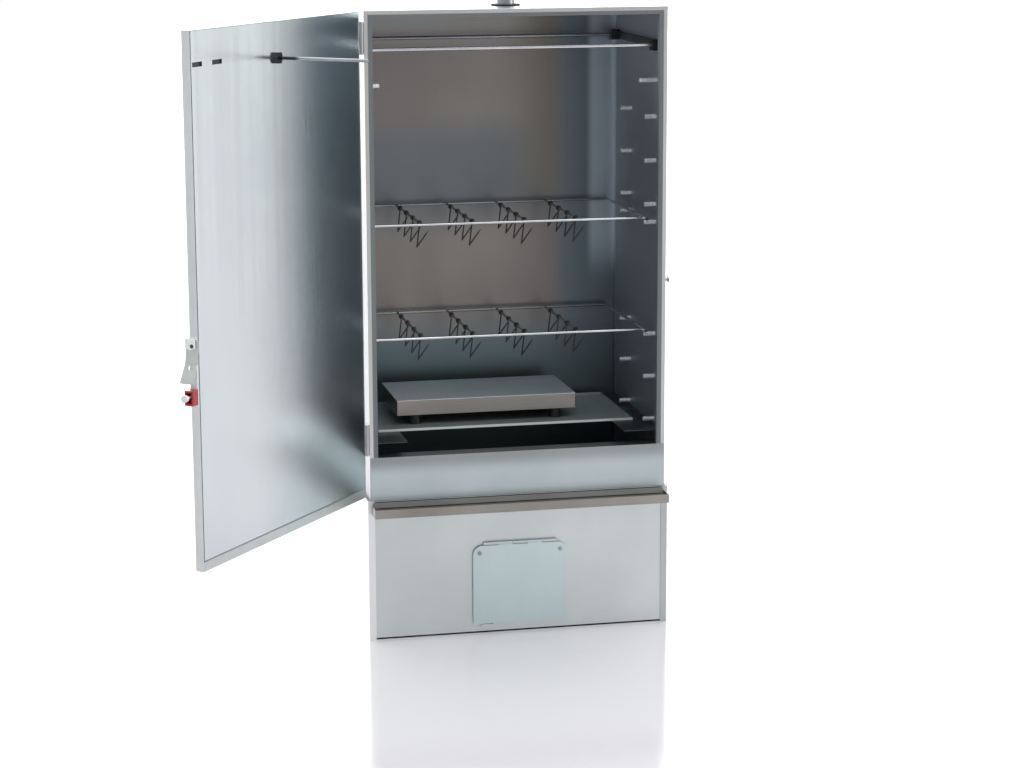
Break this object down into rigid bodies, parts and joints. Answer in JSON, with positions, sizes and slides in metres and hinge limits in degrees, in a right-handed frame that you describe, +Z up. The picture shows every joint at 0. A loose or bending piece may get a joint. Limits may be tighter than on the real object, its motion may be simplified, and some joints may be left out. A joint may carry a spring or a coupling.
{
  "type": "electric cabinet smoker",
  "caption": "Sheet-metal electric smoking cabinet with a side-hinged door, hook racks on wall pins, a flat heater, a slide-out drip tray and a low base with a chip flap.",
  "frame": {"origin": "on the ground plane, under the middle of the chamber's front face", "axes": "+Z up, the door side faces -Y, +X to the right seen from the front"},
  "size_m": [0.6812, 0.6778, 0.892],
  "materials": {
    "galvanised": "brushed, lightly spangled",
    "sill": "brushed",
    "mirror_liner": "polished",
    "bright_wire": "bright",
    "hinge_steel": "satin",
    "dark_wire": "smoked",
    "smoked_steel": "smoke-stained",
    "heater_steel": "satin",
    "element": "oxidised",
    "black_plastic": "matt",
    "black_rubber": "matt",
    "pipe_steel": "satin",
    "box_paint": "fine texture",
    "thermostat_plastic": "matt",
    "dial_steel": "polished",
    "latch_white": "satin",
    "latch_grey": "satin",
    "latch_red": "gloss",
    "rocker_red": "gloss"
  },
  "bodies": {
    "cabinet": {"left_wall": "galvanised", "right_wall": "galvanised", "back_wall": "galvanised", "roof": "galvanised", "base_left": "galvanised", "base_right": "galvanised", "base_front": "galvanised", "base_back": "galvanised", "base_bottom": "galvanised", "base_top": "galvanised", "tray_rails": "galvanised", "floor_frame": "galvanised", "wall_rivets": "galvanised", "sill_panel": "sill", "rack_pins": "bright_wire", "top_rods": "bright_wire", "body_hinge_leaves": "hinge_steel", "hinge_pins": "hinge_steel", "flap_leaf": "hinge_steel", "flap_pin": "hinge_steel", "latch_keeper": "hinge_steel", "baffle_plate": "smoked_steel", "side_rails": "smoked_steel", "chip_pan": "smoked_steel", "heater_housing": "heater_steel", "heater_element": "element", "chip_heater": "element", "rod_end_blocks": "black_plastic", "heater_feet": "black_plastic", "power_inlet": "black_plastic", "switch_frame": "black_plastic", "chimney_collar": "black_rubber", "heater_lead": "black_rubber", "chimney_pipe": "pipe_steel", "control_box": "box_paint", "thermostat_body": "thermostat_plastic"},
    "door": {"door_skin": "galvanised", "door_liner": "mirror_liner", "door_hinge_leaves": "hinge_steel", "thermo_case": "dial_steel", "thermo_probe": "dial_steel", "latch_plate": "latch_white", "latch_block": "latch_red"},
    "latch_lever": {"latch_lever": "latch_grey"},
    "latch_button": {"latch_button": "latch_white"},
    "drip_tray": {"drip_tray": "smoked_steel"},
    "flap": {"flap": "sill", "flap_screws": "hinge_steel"},
    "thermostat_knob": {"thermostat_knob": "black_plastic"},
    "switch_rocker": {"switch_rocker": "rocker_red"},
    "upper_rack": {"upper_rack": "bright_wire"},
    "lower_rack": {"lower_rack": "bright_wire"},
    "upper_hooks_1": {"upper_hooks_1": "dark_wire"},
    "upper_hooks_2": {"upper_hooks_2": "dark_wire"},
    "upper_hooks_3": {"upper_hooks_3": "dark_wire"},
    "upper_hooks_4": {"upper_hooks_4": "dark_wire"},
    "lower_hooks_1": {"lower_hooks_1": "dark_wire"},
    "lower_hooks_2": {"lower_hooks_2": "dark_wire"},
    "lower_hooks_3": {"lower_hooks_3": "dark_wire"},
    "lower_hooks_4": {"lower_hooks_4": "dark_wire"}
  },
  "joints": [
    {"name": "door_hinge", "type": "hinge", "parent": "cabinet", "child": "door", "pos_m": [-0.204, -0.002, 0.51], "axis": [0, 0, 1], "range_deg": [-45, 127.5]},
    {"name": "latch_swing", "type": "hinge", "parent": "door", "child": "latch_lever", "pos_m": [-0.45674, -0.32234, 0.468], "axis": [-0.6088, -0.7934, 0], "range_deg": [-30, 90]},
    {"name": "latch_push", "type": "slide", "parent": "door", "child": "latch_button", "axis": [0.6088, 0.7934, 0], "range_m": [0, 0.003], "stiffness_N_per_m": 400},
    {"name": "tray_slide", "type": "slide", "parent": "cabinet", "child": "drip_tray", "axis": [0, -1, 0], "range_m": [0, 0.15]},
    {"name": "flap_hinge", "type": "hinge", "parent": "cabinet", "child": "flap", "pos_m": [0, -0.005, 0.1246], "axis": [-1, 0, 0], "range_deg": [0, 110]},
    {"name": "thermostat_turn", "type": "hinge", "parent": "cabinet", "child": "thermostat_knob", "pos_m": [-0.038, 0.325, 0.118], "axis": [0, -1, 0], "range_deg": [0, 270]},
    {"name": "switch_rock", "type": "hinge", "parent": "cabinet", "child": "switch_rocker", "pos_m": [0.042, 0.318, 0.118], "axis": [1, 0, 0], "range_deg": [0, 14]},
    {"name": "upper_rack_slide", "type": "slide", "parent": "cabinet", "child": "upper_rack", "axis": [0, 1, 0], "range_m": [-0.16, 0]},
    {"name": "lower_rack_slide", "type": "slide", "parent": "cabinet", "child": "lower_rack", "axis": [0, 1, 0], "range_m": [-0.16, 0]},
    {"name": "upper_hooks_1_swing", "type": "hinge", "parent": "upper_rack", "child": "upper_hooks_1", "pos_m": [-0.1165, 0.155, 0.546], "axis": [0, 1, 0], "range_deg": [-35, 35]},
    {"name": "upper_hooks_2_swing", "type": "hinge", "parent": "upper_rack", "child": "upper_hooks_2", "pos_m": [-0.0455, 0.155, 0.546], "axis": [0, 1, 0], "range_deg": [-35, 35]},
    {"name": "upper_hooks_3_swing", "type": "hinge", "parent": "upper_rack", "child": "upper_hooks_3", "pos_m": [0.0255, 0.155, 0.546], "axis": [0, 1, 0], "range_deg": [-35, 35]},
    {"name": "upper_hooks_4_swing", "type": "hinge", "parent": "upper_rack", "child": "upper_hooks_4", "pos_m": [0.0965, 0.155, 0.546], "axis": [0, 1, 0], "range_deg": [-35, 35]},
    {"name": "lower_hooks_1_swing", "type": "hinge", "parent": "lower_rack", "child": "lower_hooks_1", "pos_m": [-0.1165, 0.155, 0.394], "axis": [0, 1, 0], "range_deg": [-35, 35]},
    {"name": "lower_hooks_2_swing", "type": "hinge", "parent": "lower_rack", "child": "lower_hooks_2", "pos_m": [-0.0455, 0.155, 0.394], "axis": [0, 1, 0], "range_deg": [-35, 35]},
    {"name": "lower_hooks_3_swing", "type": "hinge", "parent": "lower_rack", "child": "lower_hooks_3", "pos_m": [0.0255, 0.155, 0.394], "axis": [0, 1, 0], "range_deg": [-35, 35]},
    {"name": "lower_hooks_4_swing", "type": "hinge", "parent": "lower_rack", "child": "lower_hooks_4", "pos_m": [0.0965, 0.155, 0.394], "axis": [0, 1, 0], "range_deg": [-35, 35]}
  ]
}
